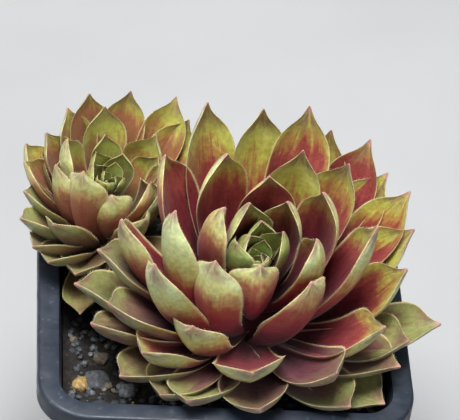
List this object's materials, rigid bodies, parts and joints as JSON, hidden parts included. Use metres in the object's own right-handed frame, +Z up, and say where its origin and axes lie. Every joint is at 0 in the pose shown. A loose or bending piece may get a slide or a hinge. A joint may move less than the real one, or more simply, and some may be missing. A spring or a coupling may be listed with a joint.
{
  "type": "potted succulent",
  "caption": "Houseleek rosette with a smaller offset beside it, in gritty mix in a square plastic nursery pot with a turned-down rim.",
  "frame": {"origin": "centre of the pot's base, on the face it stands on", "axes": "+Z up; -Y towards the viewer of the large rosette's open side; +X towards the large rosette's side of the pot"},
  "size_m": [0.1021, 0.0931, 0.117],
  "materials": {
    "pot_plastic": "slightly scuffed, matt",
    "mix_and_grit": "dark peaty mix topped with grey grit",
    "hen_leaf": "satin living leaf, burgundy at the foot and yellow-green towards the point",
    "chick_leaf": "satin living leaf, burgundy at the foot and yellow-green towards the point"
  },
  "bodies": {
    "root": {"pot": "pot_plastic", "potting_mix": "mix_and_grit", "hen_rosette": "hen_leaf", "chick_rosette": "chick_leaf"}
  },
  "joints": []
}
